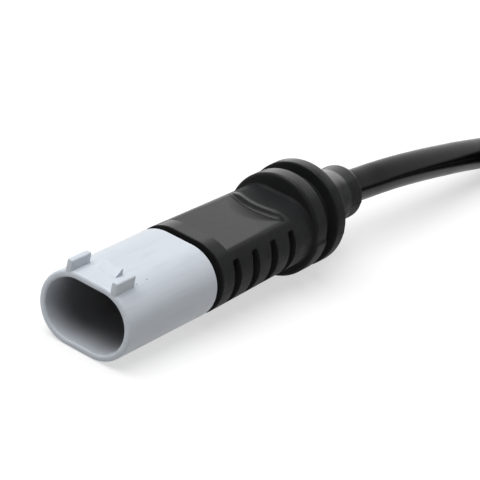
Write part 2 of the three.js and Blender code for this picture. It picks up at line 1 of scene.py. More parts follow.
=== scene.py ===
"""Looks of a brake pad wear sensor: a grey and black two-pin connector, its sheathed lead
and the sensor head, on a white floor.

The connector is drawn in its own frame, in millimetres: its mouth at y = 0 facing -Y, its
width along X and its height along Z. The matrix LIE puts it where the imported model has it.
Everything else is drawn in the model's frame, in millimetres too.
"""

import json
import math

import bpy
import numpy as np
from mathutils import Matrix, Vector


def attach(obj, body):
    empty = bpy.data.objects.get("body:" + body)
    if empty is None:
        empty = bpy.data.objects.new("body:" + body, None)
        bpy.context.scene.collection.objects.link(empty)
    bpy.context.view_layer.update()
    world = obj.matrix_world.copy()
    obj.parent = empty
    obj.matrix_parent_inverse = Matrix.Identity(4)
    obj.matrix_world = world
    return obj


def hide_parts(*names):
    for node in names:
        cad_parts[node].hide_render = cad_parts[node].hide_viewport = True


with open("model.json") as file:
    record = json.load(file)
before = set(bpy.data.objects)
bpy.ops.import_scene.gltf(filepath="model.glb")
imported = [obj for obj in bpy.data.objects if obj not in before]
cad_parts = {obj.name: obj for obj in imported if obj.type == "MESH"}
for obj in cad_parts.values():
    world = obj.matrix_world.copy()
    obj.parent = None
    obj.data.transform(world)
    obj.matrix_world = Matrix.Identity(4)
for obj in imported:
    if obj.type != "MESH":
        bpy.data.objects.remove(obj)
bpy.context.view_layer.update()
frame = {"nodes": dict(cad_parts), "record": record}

MM = 0.001
CLEARANCE = 0.3  # gap between pieces that touch
OVERRUN = 1.0  # how far a cutter runs past the face that it opens

# Shroud
SHROUD_WIDTH = 16.0
SHROUD_HEIGHT = 11.55
SHROUD_LENGTH = 21.0
SHROUD_WALL = 1.1
SHROUD_DRAFT = 0.08  # how much slimmer each side is at the mouth
CAVITY_DEPTH = 17.5
FLOOR_THICKNESS = 1.8
RIM_ROUNDING = 0.5  # outside edge of the mouth
RIM_INSIDE_ROUNDING = 0.35  # inside edge of the mouth
SKIRT_ROUNDING = 0.2  # edges of the shroud's back end
RIM_FLAT = 0.74  # from the top of the shroud down to the mating face
INSIDE_SHADE_REACH = 0.2  # how far past the cavity the painted shade of its inside goes
RIB_SPACING = 7.8  # between the middles of the two ribs
RIB_THICKNESS = 1.0
RIB_LENGTH = 4.35
RIB_RISE = 1.38  # above the top of the shroud
RIB_START = 0.02  # behind the rim
RIB_ROOT = 0.8  # share of the wall that the ribs reach into
RIB_ROUNDING = 0.22
LATCH_START = 3.5
LATCH_LENGTH = 1.6
LATCH_WIDTH = 3.3
LATCH_RISE = 0.95
LATCH_CREST = 0.35  # length of its flat top
LATCH_ROOT = 0.6  # how deep it sits in the wall
LATCH_TOE = 0.5  # how far its root runs ahead of the ramp
LATCH_ROUNDING = 0.12
SHROUD_SEAM = (0.04, 0.09)  # depth and width of the parting line
SPECKS = ((4.2, 5.2, 5.43), (4.18, 7.54, 5.43))  # middles of the specks of dirt
SPECK_RADIUS = 0.13

# Contact pins
PIN_SPACING = 5.0
PIN_RADIUS = 0.75
PIN_LENGTH = 7.0  # free length in front of the shroud's floor
PIN_COLLAR_RADIUS = 1.4
PIN_COLLAR_LENGTH = 0.9
PIN_TIP_LENGTH = 1.1
PIN_ROUNDING = 0.12
BARREL_RADIUS = 1.25
BARREL_LENGTH = 5.5
BARREL_BORE_RADIUS = 0.75
BARREL_BORE_DEPTH = 4.0

# Grip moulding
COLLAR_GAP = 1.45  # dark recess between the shroud and the collar
COLLAR_FRONT = SHROUD_LENGTH + COLLAR_GAP
COLLAR_ROUNDING = 0.2
CARVING_START = 0.3  # behind the front of the collar
GRIP_LENGTH = 24.75  # from the collar to the first flange
GRIP_FRONT_WIDTH = 16.1
GRIP_FRONT_HEIGHT = 11.6
GRIP_REAR_WIDTH = 15.3
GRIP_REAR_HEIGHT = 11.2
GRIP_FILLET = 0.3  # from the grip to the first flange
GRIP_SEAM = (0.03, 0.12)  # depth and width of the parting line
PLUG_INSET = SHROUD_WALL + CLEARANCE
PLUG_CHAMFER = 0.3
PANEL_START = 3.1  # behind the front of the collar
PANEL_DEPTH = 0.98
PANEL_LENGTH = 14.2
PANEL_ARC_RADIUS = 8.1
ARC_FRONT = COLLAR_FRONT + PANEL_START + PANEL_LENGTH
ARC_MIDDLE = ARC_FRONT + PANEL_ARC_RADIUS
PANEL_HALF_WIDTH = 5.5  # where the sweep before the arc ends at each side
SCOOP_LENGTH = 3.4  # of the sweep before the arc
SCOOP_RISE = 0.26
SCOOP_POWER = 1.7  # how late the sweep rises
CRESCENT_LEAST = 0.01  # share of the sweep's length that is left beside it
SLOT_COUNT = 4
SLOT_FIRST = 3.9  # middle of the first slot, behind the front of the collar
SLOT_PITCH = 5.0
SLOT_WIDTH = 1.35
SLOT_FLOOR_HALF_WIDTH = 6.1
SLOT_HALF_HEIGHT = 3.4  # up to where the slots run out
WALL_SLOPE = 7.0  # rise of the slots' and the panel's front walls
ARC_SLOPE = 1.05
SLOT_END_SLOPE = 2.5
DECK_TOP = 0.1  # from the grip's top at the collar down to the deck at the arc
DECK_FALL = 0.055  # for each millimetre towards the flange
DECK_LEAD = 1.0  # how far ahead of the arc its plane starts
FOOT_RISE = 0.08  # of the low lip along the arc's foot
FOOT_BEFORE = 0.15  # from the arc's foot to the middle of the lip
FOOT_WIDTH = 0.18
EDGE_BLEND = 0.16  # softness of carved edges
ARC_BLEND = 0.26  # softness of the arc's upper edge
FLANGE_1_FRONT = COLLAR_FRONT + GRIP_LENGTH
FLANGE_1_RADIUS = 8.2
FLANGE_1_THICKNESS = 3.15
FLANGE_1_LOWER_PROUD = 0.25  # how far the lower half stands out
FLANGE_GROOVE = 2.6
FLANGE_GROOVE_DEPTH = 1.6
FLANGE_CORE_RADIUS = FLANGE_1_RADIUS - FLANGE_GROOVE_DEPTH
FLANGE_STEP_WIDTH = 0.2  # across which it steps out
FLANGE_ROUNDING = 0.3
FLANGE_FRONT_ROUNDING = 0.55  # front edge of the first flange
FLANGE_SEAM = (-0.07, 0.16)  # below zero it stands out, as a flash
FLANGE_2_FRONT = FLANGE_1_FRONT + FLANGE_1_THICKNESS + FLANGE_GROOVE
FLANGE_2_PROUD = 0.3
FLANGE_2_RADIUS = FLANGE_1_RADIUS + FLANGE_2_PROUD
FLANGE_2_THICKNESS = 2.4
NECK_START = FLANGE_2_FRONT + FLANGE_2_THICKNESS
NECK_BASE_RADIUS = 6.8  # where the neck's cone meets the second flange
NECK_CONE_LENGTH = 8.45
NECK_FOOT = 0.6  # how far the cone's foot reaches out on the flange
NECK_BLEND = 2.0  # rounding at the foot and the end of the cone
NECK_RADIUS = 4.45
NECK_LENGTH = 12.2
NECK_END_ROUNDING = 0.9
NECK_END = NECK_START + NECK_LENGTH

# Lead, coil and the pieces on its tail
LEAD_DIAMETER = 5.5
LEAD_RADIUS = LEAD_DIAMETER / 2
LEAD_GRIP = 15.0  # length of sheath held inside the neck
COIL_CENTRE = (32.5, 110.0)
COIL_OUTER_TURN = 32.5
COIL_INNER_TURN = 27.0
COIL_TOP_TURN = 29.75
COIL_LOW = 2.85  # height of the lead's middle in the lower turns
COIL_HIGH = 8.4  # and on top of them
COIL_TURNS = 2.5
COIL_POINTS = 61
COIL_INWARD = (1.1, 1.1)  # radians before the first turn's end, and its length
COIL_RISE = (2.6, 1.3)  # the same before the second turn's end
COIL_OUTWARD = (1.9, 1.0)
TAIL_X = COIL_CENTRE[0] + COIL_TOP_TURN
TAIL_HEIGHT = 5.6
COIL_TO_GROMMET = 37.0  # from the middle of the coil
GROMMET_BACK = COIL_CENTRE[1] - COIL_TO_GROMMET
GROMMET_LENGTH = 12.0
GROMMET_RADIUS = 5.6
GROMMET_WAIST_RADIUS = 4.4
GROMMET_WAIST_LENGTH = 4.5
GROMMET_ROUNDING = 0.5
GROMMET_TO_BOOT = 4.0
RUBBER_FIT = 0.02  # between the sheath and the rubber on it
BOOT_BACK = GROMMET_BACK - GROMMET_LENGTH - GROMMET_TO_BOOT
BOOT_LENGTH = 14.0
BOOT_RADIUS = 4.9
BOOT_TIP_RADIUS = 3.75
BOOT_STRAIGHT = 0.25  # share of its length before it tapers
BOOT_GROOVES = 4
BOOT_GROOVE_FIRST = 0.36  # share of its length
BOOT_GROOVE_PITCH = 0.15
BOOT_GROOVE_WIDTH = 1.0
BOOT_GROOVE_DEPTH = 0.5
BOOT_GROOVE_WALL = 0.15  # slant of each of its walls
BOOT_ROUNDING = 0.3
HEAD_BACK = BOOT_BACK - BOOT_LENGTH - CLEARANCE
HEAD_LENGTH = 20.0
HEAD_WIDTH = 13.0
HEAD_CORNER = 1.6
HEAD_ROUNDING = 0.5  # edges of its front and back
CLIP_SEAT_SLANT = 0.1  # at both ends
HEAD_FRONT = HEAD_BACK - HEAD_LENGTH
HEAD_POCKET_DEPTH = 5.0
NOSE_LENGTH = 8.5
NOSE_RADIUS = 3.5
NOSE_ROUNDING = 0.6
NOSE_FOOT_RADIUS = 4.2  # where its fillet ends on the head
NOSE_SLOT_ROUNDING = 0.3  # of the slot that bares the loop
LOOP_WIRE_RADIUS = 0.5
LOOP_SPACING = 3.2
LOOP_TO_POCKET = 6.6  # from its back ends
LOOP_BEND = 0.8  # radius of its bends, as a share of half its spacing
CLIP_THICKNESS = 0.5
CLIP_WIDTH = 7.0
CLIP_START = 7.0  # behind the front face of the head
CLIP_LEG_END = 1.2  # height of the clip's free edges above the floor
CLIP_FLARE = 0.6
CLIP_ROUNDING = 0.45

# The photograph's camera, in the connector's frame: degrees, pixels of a 480 pixel frame
# and millimetres. The target is on the connector's axis, just inside the mouth.
VIEW_AZIMUTH = 28.905
VIEW_ELEVATION = 26.526
VIEW_ROLL = 12.84
TARGET_INSIDE = 0.5
TARGET_PIXEL = (85.694, 315.348)  # where the target is in the frame
TARGET_DEPTH = 302.465
FOCAL_PIXELS = 2200.0
FRAME_PIXELS = 480.0
SENSOR_MM = 36.0

# Light, in metres and watts
WORLD_LIGHT = 0.12
BACKDROP_TOP = 0.52  # sine of the height where the white backdrop ends
CEILING = 0.74  # and where the ceiling starts
CEILING_GLOSS = 0.15  # how bright the ceiling is in a gloss
ROOM_GLOSS = 0.25  # and the room in front of the object
ROOM_END = -0.2  # how far back the room reaches, as a cosine
BACKDROP_START = 0.3  # and where the backdrop is fully white
FLOOR_HALF = 3.0
FLOOR_COLOUR = 0.5
FLOOR_GLOW = 0.6  # what the floor adds to the lamp's light, as the camera sees it
GLOW_NEAR = 0.15  # up to here the floor has that glow
GLOW_FAR = 0.8  # and from here on it is white by itself
TOP_LAMP = 7.6
TOP_LAMP_SIZE = 1.0
TOP_LAMP_PLACE = (-0.16, -0.14, 0.75)
TOP_LAMP_TARGET = (0.0, 0.02, 0.0)

# Surfaces
FLAT_UPRIGHT = (0.74, 0.96)  # the normal's height: no polish below, all above
FLAT_COAT = 0.48  # weight of their clear gloss
COAT_ROUGHNESS = 0.2
POLISHED = 0.25  # roughness of the grip's flats
GRAINED = 0.6  # and of the rest of it
DECK_INSET = 1.3  # how far inside the arc the deck's grain starts
DECK_EDGE = 0.25  # half the width over which it does
GREY_COLOUR = (0.68, 0.73, 0.79)
# Painted shade in the mouth: the grey inside darkens to this colour with depth, where the cavity
# lies in shadow
GREY_DEEPEST_SHADE = (0.28, 0.28, 0.29)
SHADE_START = -1.0  # before the mouth, so that the painted shade darkens its rim too
SHADE_END = 6.5
SCUFF_SHARE = 0.4
SCUFF_SHADE = 0.86
SPECK_SHARE = 0.75
DIRT = (0.06, 0.06, 0.06)

# How finely the meshes are drawn
SECTION_POINTS = 288  # round the shroud and the grip
CORNER_POINTS = 48  # from which a section's corners are spaced
HEAD_POINTS = 192
BLOCK_POINTS = 48
GRIP_STEP = 0.2  # between the grip's rings
GRIP_FINE_STEP = 0.04  # and near an edge
EDGE_REACH = 0.28  # how near that is
ARC_STEP = 0.05  # between the rings along the arc
ROW_GAP = 0.15  # kept free of rings before the flange's fillet
LATHE_SIDES = 96


def lying_matrix():
    """Where the connector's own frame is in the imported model, from its mating face."""
    face = next(m for m in frame["record"]["mounts"] if m["name"] == "mating_face")
    tilt = math.atan2(-face["axis"][2], -face["axis"][1])
    turn = Matrix.Rotation(tilt, 4, "X")
    on_rim = Vector((0, 0, SHROUD_HEIGHT / 2 - RIM_FLAT)) * MM
    return Matrix.Translation(Vector(face["pos_m"]) - turn @ on_rim) @ turn


LIE = lying_matrix()
ON_TAIL = Matrix.Translation(Vector((TAIL_X, 0, TAIL_HEIGHT)) * MM)


# Outlines

def even(points, count):
    """A closed outline, drawn again with evenly spaced points from its first one."""
    closed = np.vstack([points, points[:1]])
    run = np.concatenate([[0], np.cumsum(np.linalg.norm(np.diff(closed, axis=0), axis=1))])
    at = np.linspace(0, run[-1], count, endpoint=False)
    return np.column_stack([np.interp(at, run, closed[:, k]) for k in (0, 1)])


def rounded_box(width, height, corner, count=SECTION_POINTS):
    """A rectangle with round corners across Y, from the middle of its +X side."""
    arcs = []
    for quarter, (side_x, side_z) in enumerate(((1, 1), (-1, 1), (-1, -1), (1, -1))):
        angle = (quarter + np.linspace(0, 1, CORNER_POINTS)) * math.pi / 2
        arcs.append(np.column_stack([
            side_x * (width / 2 - corner) + corner * np.cos(angle),
            side_z * (height / 2 - corner) + corner * np.sin(angle),
        ]))
    start = np.array([[width / 2, 0.0]])
    return even(np.vstack([start, *arcs]), count)


def stadium(width, height, count=SECTION_POINTS):
    """A box whose short sides are half circles, or a circle."""
    return rounded_box(width, height, min(width, height) / 2, count)


def arc(centre, radius, start, end, steps):
    """Points on an arc, as pairs, from one angle in degrees to another."""
    angle = np.radians(np.linspace(start, end, steps + 1))
    return [(centre[0] + radius * math.cos(a), centre[1] + radius * math.sin(a)) for a in angle]


def round_corners(points, radius, closed=False, steps=5):
    """A polyline of pairs with its corners rounded, by less where a side is short."""
    points = [Vector(p) for p in points]
    count = len(points)
    out = []
    for i, corner in enumerate(points):
        if not closed and i in (0, count - 1):
            out.append(tuple(corner))
            continue
        before = points[i - 1] - corner
        after = points[(i + 1) % count] - corner
        half = before.angle(after) / 2
        if half > math.radians(88):
            out.append(tuple(corner))
            continue
        cut = min(radius / math.tan(half), 0.45 * before.length, 0.45 * after.length)
        start = corner + before.normalized() * cut
        end = corner + after.normalized() * cut
        for k in range(steps + 1):
            t = k / steps
            out.append(tuple(start * (1 - t) ** 2 + corner * 2 * t * (1 - t) + end * t * t))
    return out


# Meshes

def smooth_min(a, b, blend):
    """The smaller of two values, rounded where they meet."""
    share = np.clip(0.5 + 0.5 * (b - a) / blend, 0, 1)
    return b * (1 - share) + a * share - blend * share * (1 - share)


def smooth_step(x):
    t = np.clip(x, 0, 1)
    return t * t * (3 - 2 * t)


def new_object(name, points, faces, matrix, sharp_degrees=35):
    """A mesh object at the origin, from points in millimetres in the frame of matrix."""
    mesh = bpy.data.meshes.new(name)
    mesh.from_pydata((np.asarray(points) * MM).tolist(), [], faces)
    mesh.transform(matrix)
    mesh.shade_smooth()
    mesh.set_sharp_from_angle(angle=math.radians(sharp_degrees))
    mesh.validate()
    piece = bpy.data.objects.new(name, mesh)
    bpy.context.scene.collection.objects.link(piece)
    return piece


def skin(name, rings, matrix, closed=False, sharp_degrees=35):
    """A surface through rings of equal numbers of points. It has caps unless it is closed."""
    rings = np.asarray(rings, float)
    rows, count = rings.shape[:2]
    this = np.arange(rows if closed else rows - 1)[:, None] * count
    following = (this + count) % (rows * count)
    a = np.arange(count)[None, :]
    b = (a + 1) % count
    quads = np.stack([this + a, following + a, following + b, this + b], axis=2).reshape(-1, 4)
    faces = quads.tolist()
    if not closed:
        faces.append(list(range(count)))
        faces.append([(rows - 1) * count + k for k in reversed(range(count))])
    return new_object(name, rings.reshape(-1, 3), faces, matrix, sharp_degrees)


def ring_at(section, y):
    """A section of x and z, as points at one y."""
    return np.column_stack([section[:, 0], np.full(len(section), y), section[:, 1]])


def mark_seam(ring, depth, width):
    """The mould's parting line along both sides of a ring."""
    seam = np.exp(-((ring[:, 2] / width) ** 2))
    ring[:, 0] -= np.sign(ring[:, 0]) * depth * seam


def lathe(name, profile, matrix, closed=False, sides=LATHE_SIDES):
    """A turned body about Y, from pairs of radius and y."""
    angle = np.linspace(0, 2 * math.pi, sides, endpoint=False)
    circle = np.column_stack([np.cos(angle), np.sin(angle)])
    # A point on the axis stays a tiny ring.
    rings = [ring_at(circle * max(radius, 1e-3), y) for radius, y in profile]
    return skin(name, rings, matrix, closed)


def block(name, low, high, rounding, matrix):
    """A box with rounded edges between two corners."""
    size = np.subtract(high, low)
    middle = np.add(high, low) / 2
    half = size[1] / 2
    eased = ((rounding, 0), (0.3 * rounding, 0.3 * rounding), (0, rounding))
    stations = [(inset, along - half) for inset, along in eased]
    stations += [(inset, half - along) for inset, along in reversed(eased)]
    rings = []
    for inset, y in stations:
        section = rounded_box(size[0] - 2 * inset, size[2] - 2 * inset, rounding, BLOCK_POINTS)
        rings.append(ring_at(section, y) + middle)
    return skin(name, rings, matrix)


def boolean(piece, cutter, operation):
    """Joins cutter to piece, or cuts it out, and removes it."""
    bpy.context.view_layer.update()
    modifier = piece.modifiers.new("cut", "BOOLEAN")
    modifier.operation = operation
    modifier.solver = "EXACT"
    modifier.object = cutter
    graph = bpy.context.evaluated_depsgraph_get()
    done = bpy.data.meshes.new_from_object(piece.evaluated_get(graph))
    piece.modifiers.clear()
    old = piece.data
    piece.data = done
    bpy.data.meshes.remove(old)
    bpy.data.objects.remove(cutter)
    done.shade_smooth()
    done.set_sharp_from_angle(angle=math.radians(35))


# Materials

def shader(slot, colour, roughness, metallic=0.0):
    """A new material for one of the record's slots, with its nodes and main shader."""
    material = bpy.data.materials.new(f"{slot}_finish")
    material["slot"] = slot
    material.use_nodes = True
    tree = material.node_tree
    main = tree.nodes["Principled BSDF"]
    main.inputs["Base Color"].default_value = (*colour, 1)
    main.inputs["Roughness"].default_value = roughness
    main.inputs["Metallic"].default_value = metallic
    return material, tree, main


def feed(tree, value, socket):
    """Puts a number, a colour or another node's output on a socket."""
    if isinstance(value, (int, float)):
        socket.default_value = value
    elif isinstance(value, tuple):
        socket.default_value = (*value, 1)
    else:
        tree.links.new(value, socket)


def computed(tree, operation, first, second=0.0):
    """The result of one operation on two numbers, or on the first of them."""
    node = tree.nodes.new("ShaderNodeMath")
    node.operation = operation
    feed(tree, first, node.inputs[0])
    feed(tree, second, node.inputs[1])
    return node.outputs["Value"]


def ranged(tree, value, start, end, low=0.0, high=1.0, smooth=True):
    """A number that goes from low to high while the value goes from start to end."""
    node = tree.nodes.new("ShaderNodeMapRange")
    node.interpolation_type = "SMOOTHSTEP" if smooth else "LINEAR"
    limits = (("From Min", start), ("From Max", end), ("To Min", low), ("To Max", high))
    for name, limit in limits:
        node.inputs[name].default_value = limit
    tree.links.new(value, node.inputs["Value"])
    return node.outputs["Result"]


def measured(tree, operation, vector, coordinates="Object"):
    """Each place's distance from a vector, or its dot product with it."""
    place = tree.nodes.new("ShaderNodeTexCoord")
    node = tree.nodes.new("ShaderNodeVectorMath")
    node.operation = operation
    node.inputs[1].default_value = vector
    tree.links.new(place.outputs[coordinates], node.inputs[0])
    return node.outputs["Value"]


def mixed(tree, share, first, second, kind="FLOAT"):
    """A number or colour between two others. The node has a row of sockets for each kind."""
    node = tree.nodes.new("ShaderNodeMix")
    node.data_type = kind
    sockets, result = {"FLOAT": ((0, 2, 3), 0), "RGBA": ((0, 6, 7), 2)}[kind]
    for index, value in zip(sockets, (share, first, second)):
        feed(tree, value, node.inputs[index])
    return node.outputs[result]


def noise(tree, per_mm, detail=3.0, stretch=(1, 1, 1)):
    """The value of a noise with so many features in a millimetre."""
    place = tree.nodes.new("ShaderNodeTexCoord")
    mapping = tree.nodes.new("ShaderNodeMapping")
    mapping.inputs["Scale"].default_value = [per_mm / MM * s for s in stretch]
    texture = tree.nodes.new("ShaderNodeTexNoise")
    texture.inputs["Scale"].default_value = 1.0
    texture.inputs["Detail"].default_value = detail
    tree.links.new(place.outputs["Object"], mapping.inputs["Vector"])
    tree.links.new(mapping.outputs["Vector"], texture.inputs["Vector"])
    return texture.outputs["Fac"]


def spread(tree, value, low, high, start=0.35, end=0.65):
    """A noise's value, spread evenly from low to high."""
    return ranged(tree, value, start, end, low, high, smooth=False)


def tint(tree, value, main, first, last, start=0.3, end=0.7):
    """Colours a material from one colour to another along a value."""
    ramp = tree.nodes.new("ShaderNodeValToRGB")
    for element, place, colour in zip(ramp.color_ramp.elements, (start, end), (first, last)):
        element.position = place
        element.color = (*colour, 1)
    tree.links.new(value, ramp.inputs["Fac"])
    tree.links.new(ramp.outputs["Color"], main.inputs["Base Color"])


def bump(tree, main, height, depth_mm, strength):
    node = tree.nodes.new("ShaderNodeBump")
    node.inputs["Distance"].default_value = depth_mm * MM
    node.inputs["Strength"].default_value = strength
    tree.links.new(height, node.inputs["Height"])
    tree.links.new(node.outputs["Normal"], main.inputs["Normal"])


def shaded(colour, factor):
    return tuple(min(1.0, c * factor) for c in colour)


def moulded(slot, colour, roughness, grain_depth=0.006, variation=0.06):
    """Moulded plastic: cloudy flow marks, a fine grain and an uneven gloss."""
    material, tree, main = shader(slot, colour, roughness)
    clouds = noise(tree, 0.12, 4)
    tint(tree, clouds, main, shaded(colour, 1 - variation), shaded(colour, 1 + variation))
    gloss = spread(tree, noise(tree, 0.5, 4), roughness - 0.05, roughness + 0.05)
    tree.links.new(gloss, main.inputs["Roughness"])
    bump(tree, main, noise(tree, 9, 2), grain_depth, 0.5)
    return material


def depth_along(tree, start, end):
    """From 0 to 1 between two distances behind the mouth, in millimetres."""
    axis = LIE.to_3x3() @ Vector((0, 1, 0))
    mouth = axis.dot(LIE.translation)
    depth = measured(tree, "DOT_PRODUCT", axis)
    return ranged(tree, depth, mouth + start * MM, mouth + end * MM)


def off_deck(tree):
    """0 on the grip's deck, between the panel's arc and the first flange, and 1 elsewhere."""
    reach = math.hypot(PANEL_ARC_RADIUS - DECK_INSET, GRIP_REAR_HEIGHT / 2)
    away = measured(tree, "DISTANCE", LIE @ (Vector((0, ARC_MIDDLE, 0)) * MM))
    before_arc = ranged(
        tree, away, (reach - DECK_EDGE) * MM, (reach + DECK_EDGE) * MM, smooth=False)
    behind_deck = depth_along(tree, FLANGE_1_FRONT - 0.2, FLANGE_1_FRONT)
    return computed(tree, "MAXIMUM", before_arc, behind_deck)


def polished_flats(tree, main):
    """Flat tops and undersides as polished in the mould, and rounded sides with a grain."""
    upright = computed(tree, "ABSOLUTE", measured(tree, "DOT_PRODUCT", (0, 0, 1), "Normal"))
    flat = computed(tree, "MULTIPLY", ranged(tree, upright, *FLAT_UPRIGHT), off_deck(tree))
    main.inputs["Coat Roughness"].default_value = COAT_ROUGHNESS
    tree.links.new(computed(tree, "MULTIPLY", flat, FLAT_COAT), main.inputs["Coat Weight"])
    uneven = noise(tree, 0.5, 4)
    polished = spread(tree, uneven, POLISHED - 0.04, POLISHED + 0.04)
    grained = spread(tree, uneven, GRAINED - 0.05, GRAINED + 0.05)
    tree.links.new(mixed(tree, flat, grained, polished), main.inputs["Roughness"])


def black_grip(slot, colour):
    """Black moulding with a fine grain, smoother on its flats, and a low gloss."""
    material, tree, main = shader(slot, colour, 0.5)
    main.inputs["Specular IOR Level"].default_value = 0.14
    tint(tree, noise(tree, 0.12, 4), main, shaded(colour, 0.9), shaded(colour, 1.1))
    polished_flats(tree, main)
    bump(tree, main, noise(tree, 9, 2), 0.006, 0.5)
    return material


def handled_shroud(slot, colour):
    """Moulded plastic with faint scuffs along its length and two specks of dirt on top."""
    material = moulded(slot, colour, 0.36, grain_depth=0.004, variation=0.02)
    tree = material.node_tree
    main = tree.nodes["Principled BSDF"]
    look = main.inputs["Base Color"].links[0].from_socket
    scuffs = spread(tree, noise(tree, 1.6, 4, (1, 0.05, 1)), 0.0, SCUFF_SHARE, 0.52, 0.72)
    look = mixed(tree, scuffs, look, shaded(colour, SCUFF_SHADE), "RGBA")
    inner, outer = 0.6 * SPECK_RADIUS * MM, 1.2 * SPECK_RADIUS * MM
    for speck in SPECKS:
        away = measured(tree, "DISTANCE", LIE @ (Vector(speck) * MM))
        dirt = ranged(tree, away, inner, outer, SPECK_SHARE, 0.0, smooth=False)
        look = mixed(tree, dirt, look, DIRT, "RGBA")
    tree.links.new(look, main.inputs["Base Color"])
    return material


def painted_depth_shade(slot, colour, darkest_shade, start, end):
    """The same plastic with painted shade: darker from one depth in the mouth to another, in
    millimetres, where the cavity lies in shadow.
    """
    material = moulded(slot, colour, 0.45, grain_depth=0.004, variation=0.02)
    tree = material.node_tree
    depth = depth_along(tree, start, end)
    tint(tree, depth, tree.nodes["Principled BSDF"], colour, darkest_shade, 0.0, 1.0)
    return material


def rubber(slot, colour):
    """Matt rubber with a coarse grain."""
    material, tree, main = shader(slot, colour, 0.55)
    clouds = noise(tree, 0.3, 4)
    tint(tree, clouds, main, shaded(colour, 0.8), shaded(colour, 1.3))
    tree.links.new(spread(tree, clouds, 0.5, 0.65), main.inputs["Roughness"])
    bump(tree, main, noise(tree, 6, 3), 0.012, 0.5)
    return material


def sheath(slot, colour):
    """Extruded sheath: smooth and glossy, with long shallow waves."""
    material, tree, main = shader(slot, colour, 0.28)
    main.inputs["Specular IOR Level"].default_value = 0.08
    tree.links.new(spread(tree, noise(tree, 0.3, 2), 0.2, 0.26), main.inputs["Roughness"])
    waves = noise(tree, 0.2, 2)
    tint(tree, waves, main, shaded(colour, 0.8), shaded(colour, 1.2))
    bump(tree, main, waves, 0.03, 0.15)
    return material


def metal(slot, colour, roughness, stretch):
    """Metal with fine scratches, longer where stretch is below 1."""
    material, tree, main = shader(slot, colour, roughness, 1.0)
    scratches = noise(tree, 3, 4, stretch)
    tint(tree, scratches, main, shaded(colour, 0.85), shaded(colour, 1.1))
    gloss = spread(tree, scratches, roughness - 0.06, roughness + 0.08)
    tree.links.new(gloss, main.inputs["Roughness"])
    bump(tree, main, scratches, 0.004, 0.4)
    return material


GREY = handled_shroud("shroud_grey", GREY_COLOUR)
# The shroud's inside, with painted shade that deepens into the mouth
GREY_SHADED_INSIDE = painted_depth_shade("shroud_grey", GREY_COLOUR, GREY_DEEPEST_SHADE, SHADE_START, SHADE_END)
BLACK = black_grip("grip_black", (0.014, 0.0145, 0.0155))
HEAD_BLACK = moulded("head_black", (0.016, 0.0165, 0.018), 0.48, 0.012)
RUBBER = rubber("rubber_black", (0.014, 0.014, 0.0145))
SHEATH = sheath("lead_sheath", (0.004, 0.004, 0.0045))
PIN_METAL = metal("pin_metal", (0.80, 0.77, 0.70), 0.25, (1, 0.1, 1))
COPPER = metal("copper", (0.78, 0.40, 0.24), 0.3, (1, 0.1, 1))
STEEL = metal("spring_steel", (0.56, 0.56, 0.58), 0.3, (1, 0.08, 1))
CORE_WHITE = moulded("core_white", (0.7, 0.68, 0.62), 0.35, 0.004)
CORE_BROWN = moulded("core_brown", (0.11, 0.055, 0.028), 0.35, 0.004)


def finish(piece, material, *nodes):
    """Gives a new piece its material and its body, and hides the nodes that it stands for."""
    piece.data.materials.clear()
    piece.data.materials.append(material)
    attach(piece, "root")
    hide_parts(*nodes)
    return piece


def repaint(node, material):
    """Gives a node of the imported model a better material."""
    shown = frame["nodes"][node]
    shown.data.materials.clear()
    shown.data.materials.append(material)


# Camera

def aim_camera():
    """The photograph's viewpoint, turned and moved with the connector."""
    azimuth, elevation, roll = (
        math.radians(a) for a in (VIEW_AZIMUTH, VIEW_ELEVATION, VIEW_ROLL))
    right = Vector((math.cos(azimuth), math.sin(azimuth), 0))
    ahead = Vector((
        -math.sin(azimuth) * math.cos(elevation),
        math.cos(azimuth) * math.cos(elevation),
        -math.sin(elevation)))
    up = right.cross(ahead)
    side = right * math.cos(roll) + up * math.sin(roll)
    top = up * math.cos(roll) - right * math.sin(roll)
    middle = FRAME_PIXELS / 2
    per_pixel = TARGET_DEPTH / FOCAL_PIXELS
    place = (
        Vector((0, TARGET_INSIDE, 0))
        - side * (TARGET_PIXEL[0] - middle) * per_pixel
        + top * (TARGET_PIXEL[1] - middle) * per_pixel
        - ahead * TARGET_DEPTH) * MM
    turn = Matrix((side, top, -ahead)).transposed().to_4x4()
    data = bpy.data.cameras.new("camera")
    data.sensor_width = SENSOR_MM
    data.lens = FOCAL_PIXELS * SENSOR_MM / FRAME_PIXELS
    data.clip_start = 0.01
    camera = bpy.data.objects.new("camera", data)
    camera.matrix_world = LIE @ Matrix.Translation(place) @ turn
    bpy.context.scene.collection.objects.link(camera)
    bpy.context.scene.camera = camera


# Lead

# The free stretch from the neck to the coil, as listed points: x, y and height.
LEAD_RUN = (
    (0.0, 40.4, 9.45), (0.1, 46, 9.35), (0.15, 52, 9.05), (0.2, 58, 8.6), (0.2, 64, 8.05),
    (0.2, 70, 7.4), (0.15, 76, 6.7), (0.1, 83, 5.75), (0.0, 90.5, 4.7), (0.0, 97, 3.8),
    (0.0, 103, 3.1),
)
TAIL_RUN = ((TAIL_X, 100, 8.4), (TAIL_X, 92, 8.4), (TAIL_X, 87.4, 8.25), (TAIL_X, 82.4, 7.45))


def coil_points():
    """Two turns on the floor, the second inside the first, and half a turn on top of them."""
    turn = 2 * math.pi
    changes = ((turn, *COIL_INWARD), (2 * turn, *COIL_RISE), (2 * turn, *COIL_OUTWARD))
    points = []
    for t in np.linspace(0, COIL_TURNS * turn, COIL_POINTS):
        inward, rise, outward = (
            smooth_step((t - (end - before)) / length) for end, before, length in changes)
        radius = (
            COIL_OUTER_TURN
            + (COIL_INNER_TURN - COIL_OUTER_TURN) * inward
            + (COIL_TOP_TURN - COIL_INNER_TURN) * outward)
        points.append((
            COIL_CENTRE[0] - radius * math.cos(t),
            COIL_CENTRE[1] + radius * math.sin(t),
            COIL_LOW + (COIL_HIGH - COIL_LOW) * rise))
    return points


